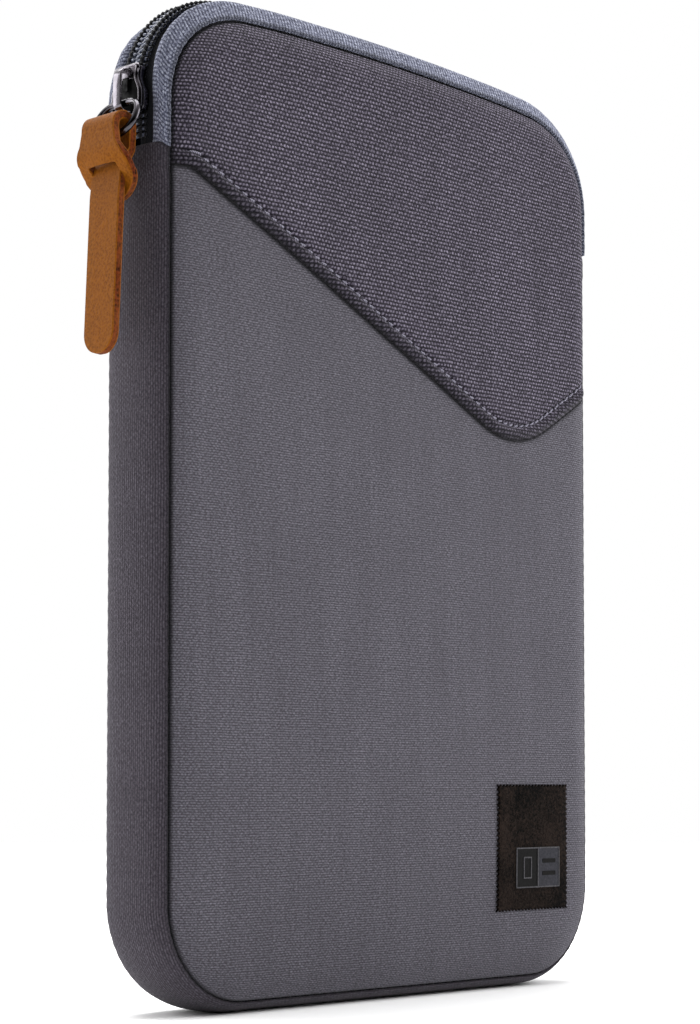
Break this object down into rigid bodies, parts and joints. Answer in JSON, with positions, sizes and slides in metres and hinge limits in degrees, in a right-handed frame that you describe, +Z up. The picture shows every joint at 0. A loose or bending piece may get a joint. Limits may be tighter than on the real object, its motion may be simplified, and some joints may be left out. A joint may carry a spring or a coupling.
{
  "type": "tablet case",
  "caption": "Padded zip-round tablet case with a sloping front yoke, a corner felt label and a leather strap pull on the zip slider.",
  "frame": {"origin": "middle of the flat face under the case, which it stands on", "axes": "+X across the width to the label's side, +Y from the front to the rear, +Z up to the zip across the top"},
  "size_m": [0.1671, 0.0249, 0.2346],
  "materials": {
    "main_cloth": "matte plain weave",
    "yoke_canvas": "matte basket-weave canvas",
    "zip_band_cloth": "matte twill",
    "zip_tape": "matte woven tape",
    "zip_coil": "moulded nylon coil with stitching",
    "foam": "open foam",
    "lining": "soft brushed cloth",
    "binding": "woven tape",
    "gunmetal": "dark polished plating",
    "tan_leather": "smooth leather with raw edges",
    "label_felt": "dense felt",
    "badge": "pressed label, pale lines",
    "thread": "thick thread"
  },
  "bodies": {
    "case": {"front_main_panel": "main_cloth", "rear_panel": "main_cloth", "side_gusset": "main_cloth", "front_yoke": "yoke_canvas", "rear_zip_band": "zip_band_cloth", "rear_zip_tape": "zip_tape", "rear_zip_coil": "zip_coil", "front_foam": "foam", "rear_foam": "foam", "gusset_foam": "foam", "front_lining": "lining", "rear_lining": "lining", "gusset_lining": "lining", "front_seam_binding": "binding", "rear_seam_binding": "binding", "zip_top_stops": "gunmetal", "zip_bottom_stop": "gunmetal", "label_patch": "label_felt", "label_badge": "badge", "yoke_topstitch": "thread"},
    "mouth_flap": {"flap_yoke": "yoke_canvas", "flap_foam": "foam", "flap_lining": "lining", "flap_seam_binding": "binding", "front_zip_band": "zip_band_cloth", "front_zip_tape": "zip_tape", "front_zip_coil": "zip_coil"},
    "slider": {"slider_body": "gunmetal", "slider_bridge": "gunmetal", "slider_lock_spring": "gunmetal"},
    "ring": {"pull_ring": "gunmetal"},
    "pull": {"leather_pull": "tan_leather"}
  },
  "joints": [
    {"name": "mouth_open", "type": "hinge", "parent": "case", "child": "mouth_flap", "pos_m": [0, -0.0126, 0.19665], "axis": [1, 0, 0], "range_deg": [0, 28], "deforming": ["front_zip_tape", "front_zip_coil"]},
    {"name": "slider_travel", "type": "hinge", "parent": "case", "child": "slider", "pos_m": [-0.052, 0, 0.208], "axis": [0, 1, 0], "range_deg": [0, 60], "deforming": ["rear_zip_tape", "rear_zip_coil"]},
    {"name": "ring_swing", "type": "hinge", "parent": "slider", "child": "ring", "pos_m": [-0.08125, 0, 0.20545], "axis": [0, 1, 0], "range_deg": [-3, 100]},
    {"name": "pull_swing", "type": "hinge", "parent": "ring", "child": "pull", "pos_m": [-0.08491, 0, 0.19723], "axis": [0, 1, 0], "range_deg": [-3, 50]}
  ]
}
